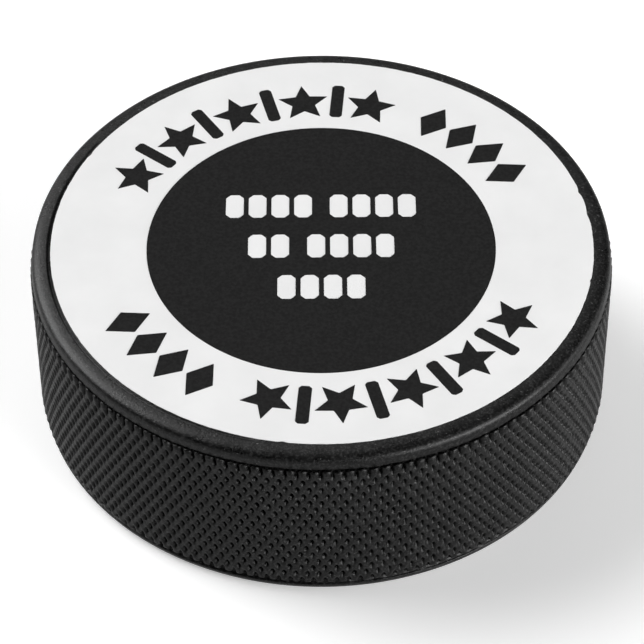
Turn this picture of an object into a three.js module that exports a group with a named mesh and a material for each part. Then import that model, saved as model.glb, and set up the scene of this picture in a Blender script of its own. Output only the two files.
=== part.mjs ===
// An ice-hockey puck with a printed face: one solid moulding of black vulcanised rubber, and the cured
// ink on top of it. The ink is a white underbase disc, a black film over its middle with openings that
// let the white show, and 26 separate black marks on the white ring.
//
// Millimetres, +Z up out of the printed face. The origin is the centre of the underside, and Z is the
// axis of the puck.

import * as THREE from "three";

// Rubber moulding
const DIAMETER = 76.2; // over the knurled band
const THICKNESS = 25.4;
// The two smooth rims: how far each stands back from the knurled band, the rounding between its flat face
// and its side, and how far from the flat face its parting groove runs
const PRINTED_RIM = { inset: 0.17, shoulder: 1.5, groove: 2.2 };
const UNDER_RIM = { inset: 0.25, shoulder: 2.0, groove: 1.7 };
const GROOVE_HALF_WIDTH = 0.25;
const GROOVE_DEPTH = 0.5; // below the smooth rim
const ARC_STEPS = 6; // straight pieces in a full rounded shoulder
const LATHE_STEPS = 128;

// Ink films
const UNDERBASE_RADIUS = 35.4;
const UNDERBASE_THICKNESS = 0.06;
const FILM_THICKNESS = 0.04; // black ink, on top of the underbase
const CENTRE_RADIUS = 22.75;
const ARTWORK_SHIFT = -0.7; // the black ink sits this far off the axis along Y
const DISC_STEPS = 128;

// Marks on the white ring: two opposite arcs of slots, each with one slot left empty
const RING_RADIUS = 28.2; // to the middle of a mark
const MARK_HEIGHT = 6.4; // along the radius
const SLOT_ANGLE = 9.4; // degrees from one slot to the next
const SLOTS_PER_ARC = 14;
const EMPTY_SLOT = 9;
const STAR_POINTS = 5;
const STAR_WAIST = 0.46; // inner radius of a star, as a share of its outer radius
const BAR_WIDTH = 1.7;
const BAR_CORNER = 0.35;
const LOZENGE_WIDTH = 4.0;

// Openings in the centre film, in three rows of words
const OPENING_WIDTH = 2.35;
const OPENING_HEIGHT = 4.3;
const OPENING_CORNER = 0.6;
const OPENING_PITCH = 3.0;
const WORD_GAP = 1.7;
const ROWS = [
  { y: 7.5, words: [4, 4] },
  { y: 0, words: [2, 4] },
  { y: -7.5, words: [4] },
];

const rubber = new THREE.MeshStandardMaterial({ color: 0x1f1f20, roughness: 0.55, metalness: 0 });
const whiteInk = new THREE.MeshStandardMaterial({ color: 0xeeeeec, roughness: 0.4, metalness: 0 });
const blackInk = new THREE.MeshStandardMaterial({ color: 0x1b1b1c, roughness: 0.45, metalness: 0 });

// ---- rubber moulding ----

/**
 * Outline of one face and its rim, from the axis to the edge of the knurled band, as points of radius and
 * distance in from the flat face.
 */
function rimOutline({ inset, shoulder, groove }) {
  const rim = DIAMETER / 2 - inset;
  const lip = groove - GROOVE_HALF_WIDTH;
  const points = [[0, 0]];
  for (let i = 0; i <= ARC_STEPS; i++) {
    const angle = (i / ARC_STEPS) * (Math.PI / 2);
    const depth = shoulder * (1 - Math.cos(angle));
    if (depth < lip) {
      points.push([rim - shoulder * (1 - Math.sin(angle)), depth]);
    }
  }
  const short = Math.max(shoulder - lip, 0);
  points.push([rim - shoulder + Math.sqrt(shoulder ** 2 - short ** 2), lip]);
  points.push([rim - GROOVE_DEPTH, groove]);
  points.push([DIAMETER / 2, groove + GROOVE_HALF_WIDTH]);
  return points;
}

function puckBody() {
  const lower = rimOutline(UNDER_RIM).map(([radius, depth]) => new THREE.Vector2(radius, depth));
  const upper = rimOutline(PRINTED_RIM).map(([radius, depth]) => new THREE.Vector2(radius, THICKNESS - depth));
  const profile = [...lower, ...upper.reverse()];
  const geometry = new THREE.LatheGeometry(profile, LATHE_STEPS);
  geometry.rotateX(Math.PI / 2);
  const mesh = new THREE.Mesh(geometry, rubber);
  mesh.name = "puck_body";
  return mesh;
}

// ---- ink films ----

/** Closed outline through points given as [x, y]. */
function outline(points) {
  return new THREE.Shape(points.map(([x, y]) => new THREE.Vector2(x, y)));
}

/** Corner points of an upright block with its four corners cut off. */
function blockPoints(width, height, corner) {
  const x = width / 2;
  const y = height / 2;
  return [
    [x - corner, -y],
    [x, -y + corner],
    [x, y - corner],
    [x - corner, y],
    [-x + corner, y],
    [-x, y - corner],
    [-x, -y + corner],
    [-x + corner, -y],
  ];
}

/** A star with one point upwards, set so that its top and its two feet span the height. */
function starPoints(height) {
  const outer = height / (1 + Math.cos(Math.PI / STAR_POINTS));
  const drop = outer - height / 2;
  const points = [];
  for (let i = 0; i < 2 * STAR_POINTS; i++) {
    const radius = i % 2 === 0 ? outer : outer * STAR_WAIST;
    const angle = Math.PI / 2 + (i * Math.PI) / STAR_POINTS;
    points.push([radius * Math.cos(angle), radius * Math.sin(angle) - drop]);
  }
  return points;
}

function lozengePoints(width, height) {
  return [
    [width / 2, 0],
    [0, height / 2],
    [-width / 2, 0],
    [0, -height / 2],
  ];
}

/** A flat film of ink, standing on the plane that it is placed on. */
function film(name, shape, thickness, material) {
  const options = { depth: thickness, bevelEnabled: false, curveSegments: DISC_STEPS };
  const mesh = new THREE.Mesh(new THREE.ExtrudeGeometry(shape, options), material);
  mesh.name = name;
  return mesh;
}

function discShape(radius) {
  const shape = new THREE.Shape();
  shape.absarc(0, 0, radius, 0, 2 * Math.PI, false);
  return shape;
}

/** Middles of one row's openings, from left to right. */
function rowCentres({ y, words }) {
  const count = words.reduce((sum, letters) => sum + letters, 0);
  const length = count * OPENING_PITCH + (words.length - 1) * WORD_GAP;
  const centres = [];
  let x = (OPENING_PITCH - length) / 2;
  for (const letters of words) {
    for (let i = 0; i < letters; i++) {
      centres.push([x, y]);
      x += OPENING_PITCH;
    }
    x += WORD_GAP;
  }
  return centres;
}

function centreFilm() {
  const shape = discShape(CENTRE_RADIUS);
  const block = blockPoints(OPENING_WIDTH, OPENING_HEIGHT, OPENING_CORNER);
  for (const [cx, cy] of ROWS.flatMap(rowCentres)) {
    shape.holes.push(outline(block.map(([x, y]) => [x + cx, y + cy])));
  }
  return film("black_centre_film", shape, FILM_THICKNESS, blackInk);
}

/** Stars and bars take turns before the empty slot, and lozenges fill the slots after it. */
function markInSlot(slot) {
  if (slot > EMPTY_SLOT) {
    return { kind: "lozenge", points: lozengePoints(LOZENGE_WIDTH, MARK_HEIGHT) };
  }
  if (slot % 2 === 0) {
    return { kind: "star", points: starPoints(MARK_HEIGHT) };
  }
  return { kind: "bar", points: blockPoints(BAR_WIDTH, MARK_HEIGHT, BAR_CORNER) };
}

/** One arc of marks, each with its top away from the centre. */
function markArc(side, middleAngle) {
  const arc = new THREE.Group();
  const counts = { star: 0, bar: 0, lozenge: 0 };
  for (let slot = 0; slot < SLOTS_PER_ARC; slot++) {
    if (slot === EMPTY_SLOT) continue;
    const { kind, points } = markInSlot(slot);
    counts[kind] += 1;
    const mark = film(`${side}_${kind}_${counts[kind]}`, outline(points), FILM_THICKNESS, blackInk);
    const degrees = middleAngle + ((SLOTS_PER_ARC - 1) / 2 - slot) * SLOT_ANGLE;
    const angle = THREE.MathUtils.degToRad(degrees);
    mark.position.set(RING_RADIUS * Math.cos(angle), RING_RADIUS * Math.sin(angle), 0);
    mark.rotation.z = angle - Math.PI / 2;
    arc.add(mark);
  }
  return arc;
}

// ---- the whole puck ----

const underbase = film("white_underbase", discShape(UNDERBASE_RADIUS), UNDERBASE_THICKNESS, whiteInk);
underbase.position.z = THICKNESS;

const artwork = new THREE.Group();
artwork.position.set(0, ARTWORK_SHIFT, THICKNESS + UNDERBASE_THICKNESS);
artwork.add(centreFilm(), markArc("back", 90), markArc("front", 270));

const puck = new THREE.Group();
puck.add(puckBody(), underbase, artwork);

export default puck;
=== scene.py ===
"""The looks of an ice-hockey puck: moulded rubber with a knurled band, a printed face and a pale studio.

Everything is in metres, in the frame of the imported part: +Z up out of the printed face, with the origin
at the centre of the underside.
"""

import math

import bpy
import numpy as np
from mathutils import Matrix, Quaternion, Vector, geometry, noise


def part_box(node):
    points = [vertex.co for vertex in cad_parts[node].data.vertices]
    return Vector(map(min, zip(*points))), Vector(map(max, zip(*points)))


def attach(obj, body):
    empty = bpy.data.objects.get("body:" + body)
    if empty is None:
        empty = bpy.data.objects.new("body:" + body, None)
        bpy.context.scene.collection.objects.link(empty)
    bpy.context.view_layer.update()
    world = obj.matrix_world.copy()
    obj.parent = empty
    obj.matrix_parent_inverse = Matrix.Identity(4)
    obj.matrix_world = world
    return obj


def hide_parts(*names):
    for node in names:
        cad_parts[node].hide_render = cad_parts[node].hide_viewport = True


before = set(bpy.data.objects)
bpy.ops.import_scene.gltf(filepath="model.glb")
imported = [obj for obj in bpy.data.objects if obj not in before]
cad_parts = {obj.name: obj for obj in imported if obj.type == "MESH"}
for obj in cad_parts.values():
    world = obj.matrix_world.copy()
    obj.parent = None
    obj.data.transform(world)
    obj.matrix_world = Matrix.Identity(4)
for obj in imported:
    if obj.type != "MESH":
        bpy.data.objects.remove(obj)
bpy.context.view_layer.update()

MM = 0.001

# The moulding, as the frame gives it
BODY_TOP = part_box("puck_body")[1]
BAND_RADIUS = BODY_TOP.x
THICKNESS = BODY_TOP.z
HALF = THICKNESS / 2

# Smooth rims: how far each stands back from the knurling, how its shoulder curves where it leaves the flat
# face and where it meets the side, how steep its wall is, and how far from the flat face its groove runs
UPPER_RIM = {
    "inset": 0.17 * MM,
    "flat_curve": 5.0 * MM,
    "side_curve": 0.85 * MM,
    "wall": math.radians(80),
    "groove": 2.15 * MM,
}
LOWER_RIM = {
    "inset": 0.25 * MM,
    "flat_curve": 2.0 * MM,
    "side_curve": 1.3 * MM,
    "wall": math.radians(82),
    "groove": 1.7 * MM,
}
SHOULDER_STEPS = 7
SHOULDER_SUBSTEPS = 12  # of the sum that draws the curve, for each step
TIGHTENED = math.radians(45)  # how far a shoulder has turned when its curve is at its tightest
SAG = 0.012 * MM  # unevenness of a shoulder
RING_SPACING = 0.1 * MM  # the least from the channel to the next ring
LIP_SPACING = 0.25 * MM  # the least from the last ring of a shoulder to the lip

# The channel: a narrow groove beside the printed disc, open on one side of the puck only
CHANNEL_MIDDLE = math.radians(202)
CHANNEL_HALF_LENGTH = math.radians(55)
CHANNEL_WIDTH = 0.5 * MM
CHANNEL_DEPTH = 0.6 * MM
CHANNEL_TAPER = 0.7  # less than 1 keeps it deep for longer on the way to its ends
CHANNEL_UNDERCUT = 0.08 * MM  # how far it starts inside the edge of the printed disc
CHANNEL_PROFILE = ((-0.3, 0), (0, 0), (0.1, 1), (0.9, 1), (1, 0), (1.2, 0))  # shares of its width and depth

# The parting grooves: each starts at the lip of a rim, which wavers, and scraps of flash bridge it
GROOVE_HALF_WIDTH = 0.25 * MM
GROOVE_DEPTH = 0.3 * MM
LIP_WOBBLE = 0.09 * MM
LIP_RELIEF = 0.02 * MM  # the lip stands back from the wall by this much
LIP_PROFILE = (  # distance down from the lip and inward from it, and share of the groove's depth
    (-0.06 * MM, 0.01 * MM, 0),
    (0, 0.05 * MM, 0.2),
    (0.02 * MM, 0.08 * MM, 0.9),
    (1.1 * MM, 0.08 * MM, 1),
)
FLASH_SIZE = 1.3 * MM
FLASH_STARTS, FLASH_FULL = 0.25, 0.5  # of noise from -1 to 1

# Knurling: a net of crossing ridges with a small deep pit in each diamond. It is drawn on a lattice of CELL
# steps for each diamond, both round the band and down it.
CELL = 8
DIAMONDS = 160  # round the band
COLUMNS = DIAMONDS * CELL
DIAMOND_HEIGHT = 2.48 * MM
FIRST_PIT_HEIGHT = 22.19 * MM
LAST_ROW = 65  # of the lattice, counted down from the middles of the uppermost pits
TEETH = ((0.72 * MM, 0.2 * MM), (0.62 * MM, 0.02 * MM))  # rows above that: rise, and set back
FIRST_ROW = -len(TEETH)
NOTCH_RISE, TOOTH_RISE = 0.9, 0.5  # shares of the rise that notches reach, and that teeth have on top
LEAN = -0.026  # how far the pattern drifts round the band for each unit of height
RIDGE_PITCH = 1.28 * MM
CREST = 0.16 * MM  # rounding of a ridge
FLANK_SLOPE = 0.65  # of the sides of a ridge, below its rounding
PIT_DEPTH = 0.7 * MM  # below the flanks
PIT_EDGE = 0.56  # where the pit starts, on the way from its middle to a ridge
PIT_POWER = 2.5  # roundness of a pit's outline: 2 is an ellipse, and more is closer to a diamond
NOTCH_POWER = 0.6  # of how far a tooth is from its notch: less than 1 makes the notches narrow
CROWDING = 0.45  # draws the lattice lines together at pits and crossings
UNEVENNESS = 0.2  # spread in the sizes of pits and teeth
PIT_SCALES = 0.5, 1.25
TOOTH_SCALES = 0.4, 1.4
MEAN_WEAR = 0.04 * MM
WEAR = 0.03 * MM
SWAY = 0.05 * MM  # waver of the pattern round the band
LIFT = 0.06 * MM  # and up and down
WAVER_SIZE = 3 * MM

# Rings of points, each with a share of the lattice columns
FACE_RINGS = ((20, 6 * MM), (40, 13 * MM), (80, 22 * MM), (160, 30 * MM))  # points and radius
COARSE = COLUMNS // 4  # points in a ring of a shoulder
FINE = COLUMNS // 2  # points in a ring of a lip

# Print
UNDERBASE_LOW, UNDERBASE_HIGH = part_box("white_underbase")
CENTRE_LOW, CENTRE_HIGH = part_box("black_centre_film")
PRINT_CENTRE = np.array((CENTRE_LOW + CENTRE_HIGH) / 2)[:2]
UNDERBASE_STEPS = 960
# Shares of the white disc's radius. Each ring has half the points of the one outside it.
UNDERBASE_RINGS = (0.995, 0.975, 0.93, 0.85, 0.65, 0.35)
RAGGEDNESS = 0.03 * MM
CHIPS = (  # in the edge of the white disc: angle and width in degrees, and depth
    (8, 1.6, 0.16 * MM),
    (15, 0.8, 0.2 * MM),
    (-12, 0.5, 0.12 * MM),
    (151, 0.7, 0.1 * MM),
    (262, 0.6, 0.12 * MM),
)
UNDERBASE_DRIFT = 0.12 * MM  # the white disc was printed this far off the axis
DRIFT_ANGLE = math.radians(30)
INK_SLOPE = 0.03 * MM  # the edge of a film leans in by this much
CORNER = 0.12 * MM  # printed corners are never quite sharp
CENTRE_STEPS = 320  # points round the black disc

# Ring marks and centre openings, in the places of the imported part's
RING_RADIUS = 28.2 * MM
MARK_HEIGHT = 6.4 * MM
SLOT_ANGLE = math.radians(9.4)
SLOTS_PER_ARC = 14
EMPTY_SLOT = 9
STAR_POINTS = 5
STAR_WAIST = 0.46
BAR_WIDTH = 1.7 * MM
BAR_CORNER = 0.35 * MM
LOZENGE_WIDTH = 4.0 * MM
OPENING_WIDTH = 2.35 * MM
OPENING_HEIGHT = 4.3 * MM
OPENING_CORNER = 0.6 * MM
OPENING_PITCH = 3.0 * MM
WORD_GAP = 1.7 * MM
ROWS = ((7.5 * MM, (4, 4)), (0, (2, 4)), (-7.5 * MM, (4,)))  # height, and openings in each group

# Soft round lights of the studio: azimuth from +X and elevation of the middle, how far from it the light
# is full and where it has faded out, all in degrees, and radiance
SOFTBOXES = (
    (150, 38, 10, 32, 7.0),
    (-36, 10, 8, 27, 8.5),
    (-20, 0, 20, 60, 2.0),
    (90, 45, 5, 35, 0.6),
)
BACKDROP = 1.0  # what the camera sees past the floor

# Floor: the camera sees a paler colour than the puck reflects, and the floor also shines by itself
FLOOR_SEEN = 0.9
FLOOR_IN_REFLECTIONS = 0.2
FLOOR_GLOW = 0.28
FLOOR_RADIUS = 4.0
FLOOR_DROP = 0.02 * MM
FLOOR_STEPS = 64


# ---- noise ----


def noise_at(points, size, seed):
    """Smooth noise from about -1 to 1 at points in space, with lumps of the given size."""
    shift = Vector((seed * 7.3, seed * 3.1, seed * 5.7))
    return np.array([noise.noise(Vector(p) / size + shift) for p in points])


def noise_round(angles, radius, size, seed):
    """Smooth noise round a circle that closes on itself."""
    points = radius * np.stack([np.cos(angles), np.sin(angles), np.zeros_like(angles)], 1)
    return noise_at(points, size, seed)


# ---- surfaces built from rings of points ----


def crowded(step):
    """Lattice steps moved closer to each multiple of half a cell."""
    half = CELL / 2
    return step - CROWDING * half / (2 * math.pi) * np.sin(2 * math.pi / half * step)


def column_angles(count):
    """Angles of a ring of points, which is a share of the lattice columns."""
    return (2 * math.pi / COLUMNS * crowded(np.arange(COLUMNS)))[:: COLUMNS // count]


def ring(radius, height, angles):
    """Points round the Z axis. radius and height are one number, or one for each angle."""
    flat = radius * np.cos(angles), radius * np.sin(angles)
    return np.stack([*flat, height + np.zeros_like(angles)], 1)


def pole(height):
    """The single point that closes a surface on the axis."""
    return np.array([[0.0, 0.0, height]])


def band_between(first, second, start):
    """Faces from one ring to the next one out or down, which may have half or twice as many points."""
    count, other = len(first), len(second)
    a, b = start, start + count
    if count == 1:
        return [(a, b + i, b + (i + 1) % other) for i in range(other)]
    if other == 1:
        return [(a + i, b, a + (i + 1) % count) for i in range(count)]
    faces = []
    for i in range(min(count, other)):
        if count == other:
            after = (i + 1) % count
            faces.append((a + i, b + i, b + after, a + after))
        elif other == 2 * count:
            after = a + (i + 1) % count
            faces.append((a + i, b + 2 * i, b + 2 * i + 1))
            faces.append((a + i, b + 2 * i + 1, after))
            faces.append((after, b + 2 * i + 1, b + (2 * i + 2) % other))
        else:
            after = b + (i + 1) % other
            faces.append((a + 2 * i, b + i, a + 2 * i + 1))
            faces.append((a + 2 * i + 1, b + i, after))
            faces.append((a + 2 * i + 1, after, a + (2 * i + 2) % count))
    return faces


def shell(name, rings, knurled=None):
    """A closed surface through rings of points, from the top of the axis round to its bottom.

    knurled gives the first and last of the rings that form the knurled lattice.
    """
    faces = []
    start = 0
    for index, (first, second) in enumerate(zip(rings, rings[1:])):
        if knurled and knurled[0] <= index < knurled[1]:
            faces += lattice_faces(index - knurled[0] + FIRST_ROW, start)
        else:
            faces += band_between(first, second, start)
        start += len(first)
    mesh = bpy.data.meshes.new(name)
    mesh.from_pydata(np.concatenate(rings).tolist(), [], faces)
    mesh.shade_smooth()
    piece = bpy.data.objects.new(name, mesh)
    bpy.context.scene.collection.objects.link(piece)
    return piece


# ---- the moulding ----


def away_from_pit(column, row):
    """How far places on the lattice are from the nearest pit: 0 at its middle and 1 on a ridge."""
    rising = 2 * np.abs((column + row) / CELL - np.round((column + row) / CELL))
    falling = 2 * np.abs((column - row) / CELL - np.round((column - row) / CELL))
    return np.clip((rising**PIT_POWER + falling**PIT_POWER) ** (1 / PIT_POWER), 0, 1)


def flank_depth(away):
    """How far the sides of a ridge fall below its crest."""
    return FLANK_SLOPE * (np.hypot(RIDGE_PITCH / 2 * (1 - away), CREST) - CREST)


def pit_depth(away):
    """How far a pit falls below the flanks, with a rounded edge and a rounded floor."""
    inside = np.clip((PIT_EDGE - away) / PIT_EDGE, 0, 1)
    return PIT_DEPTH * inside * inside * (3 - 2 * inside)


def lattice_faces(row, start):
    """Triangles between one lattice row and the next, each pair split the way the nearer ridge runs."""
    column = np.arange(COLUMNS)
    rising = np.abs((column + row + 1) % CELL - CELL / 2)
    falling = np.abs((column - row) % CELL - CELL / 2)
    a, b = start, start + COLUMNS
    faces = []
    for i, lean in zip(column.tolist(), (rising < falling).tolist()):
        j = (i + 1) % COLUMNS
        if lean:
            faces += [(a + i, b + i, a + j), (a + j, b + i, b + j)]
        else:
            faces += [(a + i, b + i, b + j), (a + i, b + j, a + j)]
    return faces


def knurl_rings():
    """Rows of the knurled band, from its upper edge to its lower one."""
    random = np.random.default_rng(11)
    pit_scale = np.clip(random.normal(1, UNEVENNESS, (LAST_ROW, 2 * DIAMONDS)), *PIT_SCALES)
    tooth_scale = np.repeat(np.clip(random.normal(1, UNEVENNESS, DIAMONDS), *TOOTH_SCALES), CELL)
    column = crowded(np.arange(COLUMNS))
    angles = column_angles(COLUMNS)
    rings = []
    for step in range(FIRST_ROW, LAST_ROW + 1):
        row = crowded(max(step, 0))
        away = away_from_pit(column, row)
        height = FIRST_PIT_HEIGHT - row / CELL * DIAMOND_HEIGHT
        set_back = 0
        if step < 0:
            # The ridges end as rounded teeth, and the uppermost pits are notches between them
            away = away**NOTCH_POWER
            rise, set_back = TEETH[step - FIRST_ROW]
            height = height + rise * (NOTCH_RISE + TOOTH_RISE * away * tooth_scale)
        rising = np.round((column + row) / CELL).astype(int)
        falling = np.round((column - row) / CELL).astype(int)
        pit = pit_depth(away) * pit_scale[rising - falling, (rising + falling) % (2 * DIAMONDS)]
        flank = flank_depth(away) + set_back
        lean = LEAN * (height - HALF)
        points = ring(BAND_RADIUS, height, angles + lean / BAND_RADIUS)
        wear = MEAN_WEAR + WEAR * (noise_at(points, 0.4 * MM, 3) + noise_at(points, 1.5 * MM, 4))
        radius = BAND_RADIUS - flank - pit - np.maximum(wear, 0)
        sway = lean + SWAY * noise_at(points, WAVER_SIZE, 5)
        lift = LIFT * noise_at(points, WAVER_SIZE, 6)
        rings.append(ring(radius, height + lift, angles + sway / BAND_RADIUS))
    return rings


def groove_openness(angles, seed):
    """1 where the parting groove is clear, falling to 0 where a scrap of flash bridges it."""
    flash = noise_round(angles, BAND_RADIUS, FLASH_SIZE, seed)
    return np.clip((FLASH_FULL - flash) / (FLASH_FULL - FLASH_STARTS), 0, 1)


def face_rings():
    """Rings of a flat face, with heights measured down from it."""
    return [pole(0)] + [ring(radius, 0, column_angles(count)) for count, radius in FACE_RINGS]


def channel_rings(radii, downs):
    """Rings of the channel beside the printed disc, which is deepest in its middle and fades to nothing.

    radii and downs give the surface it is cut into.
    """
    angles = column_angles(COARSE)
    away = np.abs((angles - CHANNEL_MIDDLE + math.pi) % (2 * math.pi) - math.pi)
    fade = np.cos(np.clip(away / CHANNEL_HALF_LENGTH, 0, 1) * math.pi / 2) ** CHANNEL_TAPER
    depth = CHANNEL_DEPTH * fade
    inner = UNDERBASE_HIGH.x - CHANNEL_UNDERCUT
    rings = []
    for across, share in CHANNEL_PROFILE:
        radius = inner + across * CHANNEL_WIDTH
        rings.append(ring(radius, np.interp(radius, radii, downs) + depth * share, angles))
    return rings


def shoulder_curve(rim, lip, flat_curve, side_curve, wall):
    """Radii and distances down from the flat face to the lip.

    The curvature tightens as the shoulder turns over, and then the wall runs straight down to the lip.
    """
    edges = np.linspace(0, wall, SHOULDER_SUBSTEPS * SHOULDER_STEPS + 1)
    turn = (edges[1:] + edges[:-1]) / 2
    curve = side_curve + (flat_curve - side_curve) * np.clip(1 - turn / TIGHTENED, 0, 1) ** 2
    out = np.concatenate([[0], np.cumsum(curve * np.cos(turn) * edges[1])])
    down = np.concatenate([[0], np.cumsum(curve * np.sin(turn) * edges[1])])
    out = np.append(out, out[-1] + (lip - down[-1]) / math.tan(wall))
    return rim - out[-1] + out, np.append(down, lip)


def rim_rings(inset, flat_curve, side_curve, wall, groove, channel, seed):
    """Rings from the edge of a flat face to the floor of its groove, with heights measured down from it."""
    rim = BAND_RADIUS - inset
    lip = groove - GROOVE_HALF_WIDTH
    radii, downs = shoulder_curve(rim, lip, flat_curve, side_curve, wall)
    rings = channel_rings(radii, downs) if channel else []
    reached = rings[-1][0, 0] if channel else 0
    coarse = column_angles(COARSE)
    fine = column_angles(FINE)
    for radius, down in zip(radii[::SHOULDER_SUBSTEPS], downs[::SHOULDER_SUBSTEPS]):
        if radius > reached + RING_SPACING and down < lip - LIP_SPACING:
            sag = SAG * (1 + noise_round(coarse, rim, 6 * MM, seed)) * down / lip
            rings.append(ring(radius - sag, down, coarse))
    wobble = LIP_WOBBLE * noise_round(fine, rim, 0.7 * MM, seed + 1)
    wobble += LIP_WOBBLE * noise_round(fine, rim, 3 * MM, seed + 2)
    deep = GROOVE_DEPTH * groove_openness(fine, seed + 3)
    edge = np.interp(lip, downs, radii) - LIP_RELIEF
    for down, inward, share in LIP_PROFILE:
        rings.append(ring(edge - inward - share * deep, lip + down + wobble, fine))
    return rings


def moulding():
    """The rubber as one closed surface: upper face and rim, knurled band, lower rim and face."""
    top = face_rings() + rim_rings(**UPPER_RIM, channel=True, seed=20)
    bottom = face_rings() + rim_rings(**LOWER_RIM, channel=False, seed=40)
    top = [points * (1, 1, -1) + (0, 0, THICKNESS) for points in top]
    band = knurl_rings()
    knurled = (len(top), len(top) + len(band) - 1)
    return shell("moulded_rubber", top + band + bottom[::-1], knurled)


# ---- ink ----


def rounded(points, radius, steps=3):
    """An outline with each corner replaced by a small curve that starts and ends at the given distance."""
    corners = np.array(points, float)
    curve = []
    for before, corner, after in zip(np.roll(corners, 1, 0), corners, np.roll(corners, -1, 0)):
        start = corner + radius * (before - corner) / np.linalg.norm(before - corner)
        end = corner + radius * (after - corner) / np.linalg.norm(after - corner)
        for t in np.linspace(0, 1, steps + 1):
            curve.append((1 - t) ** 2 * start + 2 * t * (1 - t) * corner + t * t * end)
    return np.array(curve)


def block_outline(width, height, corner):
    """An upright block with its four corners cut off."""
    x, y = width / 2, height / 2
    right = [(x - corner, -y), (x, -y + corner), (x, y - corner), (x - corner, y)]
    return rounded(right + [(-px, -py) for px, py in right], CORNER)


def star_outline(height):
    outer = height / (1 + math.cos(math.pi / STAR_POINTS))
    points = []
    for i in range(2 * STAR_POINTS):
        radius = outer * (1 if i % 2 == 0 else STAR_WAIST)
        angle = math.pi / 2 + i * math.pi / STAR_POINTS
        points.append((radius * math.cos(angle), radius * math.sin(angle) - (outer - height / 2)))
    return rounded(points, CORNER)


def lozenge_outline(width, height):
    points = [(width / 2, 0), (0, height / 2), (-width / 2, 0), (0, -height / 2)]
    return rounded(points, CORNER)


def circle_outline(radius, steps):
    angles = 2 * math.pi * np.arange(steps) / steps
    return radius * np.stack([np.cos(angles), np.sin(angles)], 1)


def drawn_in(loop, distance):
    """The outline moved to its left, which is into the ink."""
    ahead = np.roll(loop, -1, 0) - loop
    ahead /= np.linalg.norm(ahead, axis=1)[:, None]
    along = ahead + np.roll(ahead, 1, 0)
    along /= np.linalg.norm(along, axis=1)[:, None]
    return loop + distance * np.stack([-along[:, 1], along[:, 0]], 1)


def film(name, loops, low, high):
    """A flat film of ink with sloped edges. The first loop runs anticlockwise, and openings run clockwise."""
    points, sides = [], []
    lower_points, counts = [], []  # for each point of the outlines, its lower point and its loop's length
    upper = [drawn_in(loop, INK_SLOPE) for loop in loops]
    for loop, drawn in zip(loops, upper):
        start, count = len(points), len(loop)
        lower_points += range(start, start + count)
        counts += [count] * count
        points += [(x, y, low) for x, y in loop] + [(x, y, high) for x, y in drawn]
        for i in range(count):
            j = (i + 1) % count
            sides.append((start + i, start + j, start + count + j, start + count + i))
    flat = [[Vector((x, y, 0)) for x, y in drawn] for drawn in upper]
    caps = []
    for triangle in geometry.tessellate_polygon(flat):
        below = [lower_points[i] for i in triangle]
        above = [lower_points[i] + counts[i] for i in triangle]
        a, b, c = (Vector(points[i]) for i in above)
        if (b - a).cross(c - a).z < 0:
            below.reverse()
            above.reverse()
        caps += [tuple(above), tuple(reversed(below))]
    mesh = bpy.data.meshes.new(name)
    mesh.from_pydata(points, [], sides + caps)
    piece = bpy.data.objects.new(name, mesh)
    bpy.context.scene.collection.objects.link(piece)
    return piece


def underbase():
    """The white disc. Its edge is slightly ragged, and chipped in places."""
    angles = 2 * math.pi * np.arange(UNDERBASE_STEPS) / UNDERBASE_STEPS
    edge = UNDERBASE_HIGH.x + UNDERBASE_DRIFT * np.cos(angles - DRIFT_ANGLE)
    edge += RAGGEDNESS * noise_round(angles, UNDERBASE_HIGH.x, 1.6 * MM, 60)
    edge += RAGGEDNESS * noise_round(angles, UNDERBASE_HIGH.x, 0.5 * MM, 61)
    edge -= chips(angles)
    low, high = UNDERBASE_LOW.z, UNDERBASE_HIGH.z
    top = [ring(share * UNDERBASE_HIGH.x, high, angles[:: 2**i]) for i, share in enumerate(UNDERBASE_RINGS)]
    rings = [pole(high)] + top[::-1]
    rings.append(ring(edge - INK_SLOPE, high, angles))
    rings.append(ring(edge, (low + high) / 2, angles))
    rings.append(ring(edge, low, angles))
    rings += [points * (1, 1, 0) + (0, 0, low) for points in top] + [pole(low)]
    piece = shell("ink_white_disc", rings)
    piece.data.shade_flat()
    return piece


def chips(angles):
    """How far small chips bite into the edge of the white disc."""
    bite = np.zeros_like(angles)
    for middle, width, depth in CHIPS:
        away = (np.degrees(angles) - middle + 180) % 360 - 180
        bite += depth * np.exp(-((away / width) ** 2))
    return bite


def row_centres(y, words):
    """Middles of one row's openings, from left to right."""
    length = sum(words) * OPENING_PITCH + (len(words) - 1) * WORD_GAP
    x = (OPENING_PITCH - length) / 2
    centres = []
    for letters in words:
        for _ in range(letters):
            centres.append((x, y))
            x += OPENING_PITCH
        x += WORD_GAP
    return centres


def centre_film():
    """The black disc, with rows of openings that let the white show."""
    block = block_outline(OPENING_WIDTH, OPENING_HEIGHT, OPENING_CORNER)[::-1]
    radius = (CENTRE_HIGH.x - CENTRE_LOW.x) / 2
    loops = [PRINT_CENTRE + circle_outline(radius, CENTRE_STEPS)]
    for y, words in ROWS:
        loops += [PRINT_CENTRE + centre + block for centre in row_centres(y, words)]
    return film("ink_black_centre", loops, CENTRE_LOW.z, CENTRE_HIGH.z)


def mark_in_slot(slot):
    """Kind and outline of a mark. Stars and bars take turns before the empty slot, with lozenges after it."""
    if slot > EMPTY_SLOT:
        return "lozenge", lozenge_outline(LOZENGE_WIDTH, MARK_HEIGHT)
    if slot % 2 == 0:
        return "star", star_outline(MARK_HEIGHT)
    return "bar", block_outline(BAR_WIDTH, MARK_HEIGHT, BAR_CORNER)


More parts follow.
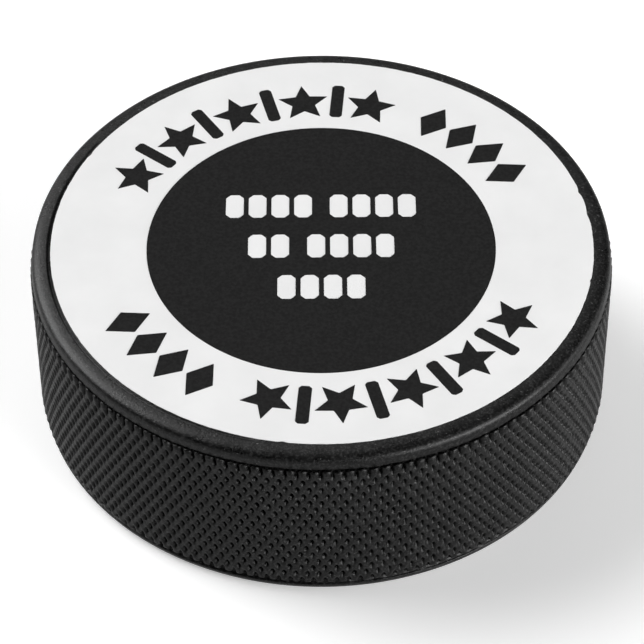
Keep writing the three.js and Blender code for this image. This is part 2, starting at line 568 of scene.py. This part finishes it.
def mark_arc(side, middle_angle):
    """Black marks of one arc, as (piece, name of the CAD node it replaces)."""
    counts = {"star": 0, "bar": 0, "lozenge": 0}
    made = []
    for slot in range(SLOTS_PER_ARC):
        if slot == EMPTY_SLOT:
            continue
        kind, outline = mark_in_slot(slot)
        counts[kind] += 1
        node = f"{side}_{kind}_{counts[kind]}"
        angle = middle_angle + ((SLOTS_PER_ARC - 1) / 2 - slot) * SLOT_ANGLE
        out = np.array([math.cos(angle), math.sin(angle)])
        right = np.array([out[1], -out[0]])
        loop = PRINT_CENTRE + outline[:, :1] * right + (RING_RADIUS + outline[:, 1:]) * out
        made.append((film(f"ink_{node}", [loop], CENTRE_LOW.z, CENTRE_HIGH.z), node))
    return made


# ---- materials ----


def principled(name, roughness, specular):
    """A new material, with its node tree and its Principled shader."""
    material = bpy.data.materials.new(name)
    material.use_nodes = True
    shader = material.node_tree.nodes["Principled BSDF"]
    shader.inputs["Roughness"].default_value = roughness
    shader.inputs["Specular IOR Level"].default_value = specular
    return material, material.node_tree, shader


def noise_node(tree, size, detail=3, roughness=0.5):
    """Noise in the piece's own space, with lumps of the given size in metres."""
    place = tree.nodes.new("ShaderNodeTexCoord")
    texture = tree.nodes.new("ShaderNodeTexNoise")
    texture.inputs["Scale"].default_value = 1 / size
    texture.inputs["Detail"].default_value = detail
    texture.inputs["Roughness"].default_value = roughness
    tree.links.new(place.outputs["Object"], texture.inputs["Vector"])
    return texture.outputs["Fac"]


def mapped(tree, value, low, high, out_low, out_high, curve="LINEAR"):
    """value, spread from low..high to out_low..out_high and held there."""
    node = tree.nodes.new("ShaderNodeMapRange")
    node.interpolation_type = curve
    for socket, number in zip(("From Min", "From Max", "To Min", "To Max"), (low, high, out_low, out_high)):
        node.inputs[socket].default_value = number
    tree.links.new(value, node.inputs["Value"])
    return node.outputs["Result"]


def mixed(tree, factor, first, second):
    """A grey between two. Each is a number or another node's colour."""
    node = tree.nodes.new("ShaderNodeMix")
    node.data_type = "RGBA"
    colours = [s for s in node.inputs if s.type == "RGBA"]
    tree.links.new(factor, node.inputs["Factor"])
    for socket, colour in zip(colours, (first, second)):
        if isinstance(colour, bpy.types.NodeSocket):
            tree.links.new(colour, socket)
        else:
            socket.default_value = (colour, colour, colour, 1)
    return next(s for s in node.outputs if s.type == "RGBA")


def maths(tree, operation, first, second):
    """The result of a Math node. Each input is a number or another node's output."""
    node = tree.nodes.new("ShaderNodeMath")
    node.operation = operation
    for socket, value in zip(node.inputs, (first, second)):
        if isinstance(value, bpy.types.NodeSocket):
            tree.links.new(value, socket)
        else:
            socket.default_value = value
    return node.outputs[0]


def bumped(tree, height, distance, under=None):
    """A normal with relief of the given height in metres."""
    node = tree.nodes.new("ShaderNodeBump")
    node.inputs["Strength"].default_value = 1
    node.inputs["Distance"].default_value = distance
    tree.links.new(height, node.inputs["Height"])
    if under is not None:
        tree.links.new(under, node.inputs["Normal"])
    return node.outputs["Normal"]


def rubber_material():
    """Black rubber: cloudy, with a fine grain and scattered pale specks of dust and bloom."""
    material, tree, shader = principled("black_rubber", 0.3, 0.3)
    cloud = noise_node(tree, 2.5 * MM, 5, 0.6)
    grain = noise_node(tree, 0.3 * MM, 4, 0.7)
    specks = noise_node(tree, 0.35 * MM, 1)
    cloudy = mapped(tree, cloud, 0.35, 0.65, 0, 1)
    dark = mixed(tree, cloudy, 0.001, 0.003)
    bloom = mixed(tree, cloudy, 0.016, 0.03)
    colour = mixed(tree, mapped(tree, grain, 0.5, 0.62, 0, 1), dark, bloom)
    colour = mixed(tree, mapped(tree, specks, 0.7, 0.76, 0, 1), colour, 0.08)
    tree.links.new(colour, shader.inputs["Base Color"])
    tree.links.new(mapped(tree, cloud, 0.3, 0.7, 0.24, 0.36), shader.inputs["Roughness"])
    relief = bumped(tree, cloud, 0.03 * MM)
    tree.links.new(bumped(tree, grain, 0.06 * MM, relief), shader.inputs["Normal"])
    return material


def white_ink_material():
    """Satin white ink, with a faint change of tone across the disc."""
    material, tree, shader = principled("white_ink", 0.4, 0.3)
    cloud = noise_node(tree, 6 * MM, 3)
    grain = noise_node(tree, 0.3 * MM, 2)
    tone = mapped(tree, cloud, 0.3, 0.7, 0, 1)
    tree.links.new(mixed(tree, tone, 0.74, 0.78), shader.inputs["Base Color"])
    tree.links.new(mapped(tree, cloud, 0.3, 0.7, 0.36, 0.46), shader.inputs["Roughness"])
    tree.links.new(bumped(tree, grain, 0.004 * MM), shader.inputs["Normal"])
    return material


def black_ink_material():
    """Matt black ink, finely mottled."""
    material, tree, shader = principled("black_ink", 0.75, 0.04)
    cloud = noise_node(tree, 0.45 * MM, 2, 0.6)
    grain = noise_node(tree, 0.3 * MM, 2)
    tone = mapped(tree, cloud, 0.35, 0.65, 0, 1)
    tree.links.new(mixed(tree, tone, 0.0115, 0.018), shader.inputs["Base Color"])
    tree.links.new(mapped(tree, cloud, 0.35, 0.65, 0.7, 0.8), shader.inputs["Roughness"])
    tree.links.new(bumped(tree, grain, 0.004 * MM), shader.inputs["Normal"])
    return material


# ---- studio ----


def make_camera():
    """A view from in front and above, through a long lens."""
    distance = 418.2 * MM
    elevation = math.radians(45.68)
    aim = Vector((0.045 * MM, -2.155 * MM, HALF))
    roll = math.radians(-0.383)
    data = bpy.data.cameras.new("camera")
    data.sensor_width = 36
    data.lens = 175.25
    camera = bpy.data.objects.new("camera", data)
    camera.location = Vector((0, 0, HALF)) + distance * Vector((0, -math.cos(elevation), math.sin(elevation)))
    turn = (aim - camera.location).to_track_quat("-Z", "Y") @ Quaternion((0, 0, 1), roll)
    camera.rotation_euler = turn.to_euler()
    bpy.context.scene.collection.objects.link(camera)
    bpy.context.scene.camera = camera


def make_floor():
    """A wide pale disc just under the puck."""
    angles = 2 * math.pi * np.arange(FLOOR_STEPS) / FLOOR_STEPS
    mesh = bpy.data.meshes.new("floor")
    mesh.from_pydata(ring(FLOOR_RADIUS, -FLOOR_DROP, angles).tolist(), [], [tuple(range(FLOOR_STEPS))])
    floor = bpy.data.objects.new("floor", mesh)
    bpy.context.scene.collection.objects.link(floor)
    material, tree, shader = principled("pale_floor", 0.9, 0.1)
    seen = tree.nodes.new("ShaderNodeLightPath").outputs["Is Camera Ray"]
    tree.links.new(mixed(tree, seen, FLOOR_IN_REFLECTIONS, FLOOR_SEEN), shader.inputs["Base Color"])
    shader.inputs["Emission Color"].default_value = (1, 1, 1, 1)
    shader.inputs["Emission Strength"].default_value = FLOOR_GLOW
    mesh.materials.append(material)


def make_world():
    """Soft light from a few round glows. The camera sees a plain white backdrop instead."""
    world = bpy.data.worlds.new("studio")
    world.use_nodes = True
    tree = world.node_tree
    place = tree.nodes.new("ShaderNodeTexCoord").outputs["Generated"]
    total = 0
    for azimuth, elevation, full, faded, radiance in SOFTBOXES:
        a, e = math.radians(azimuth), math.radians(elevation)
        aim = tree.nodes.new("ShaderNodeVectorMath")
        aim.operation = "DOT_PRODUCT"
        aim.inputs[1].default_value = (math.cos(a) * math.cos(e), math.sin(a) * math.cos(e), math.sin(e))
        tree.links.new(place, aim.inputs[0])
        edges = math.cos(math.radians(faded)), math.cos(math.radians(full))
        light = mapped(tree, aim.outputs["Value"], *edges, 0, radiance, "SMOOTHSTEP")
        total = maths(tree, "ADD", total, light)
    seen = tree.nodes.new("ShaderNodeLightPath").outputs["Is Camera Ray"]
    colour = mixed(tree, seen, total, BACKDROP)
    tree.links.new(colour, tree.nodes["Background"].inputs["Color"])
    bpy.context.scene.world = world


def make_studio():
    make_camera()
    make_floor()
    make_world()
    bpy.context.scene.view_settings.view_transform = "Standard"


# ---- the whole puck ----


def finish_piece(piece, material, node):
    """Gives a piece its material and its body, and hides the CAD node it stands in for."""
    piece.data.materials.append(material)
    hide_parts(node)
    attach(piece, "root")


make_studio()
finish_piece(moulding(), rubber_material(), "puck_body")
finish_piece(underbase(), white_ink_material(), "white_underbase")
black_ink = black_ink_material()
finish_piece(centre_film(), black_ink, "black_centre_film")
for mark, node in mark_arc("back", math.pi / 2) + mark_arc("front", 3 * math.pi / 2):
    finish_piece(mark, black_ink, node)
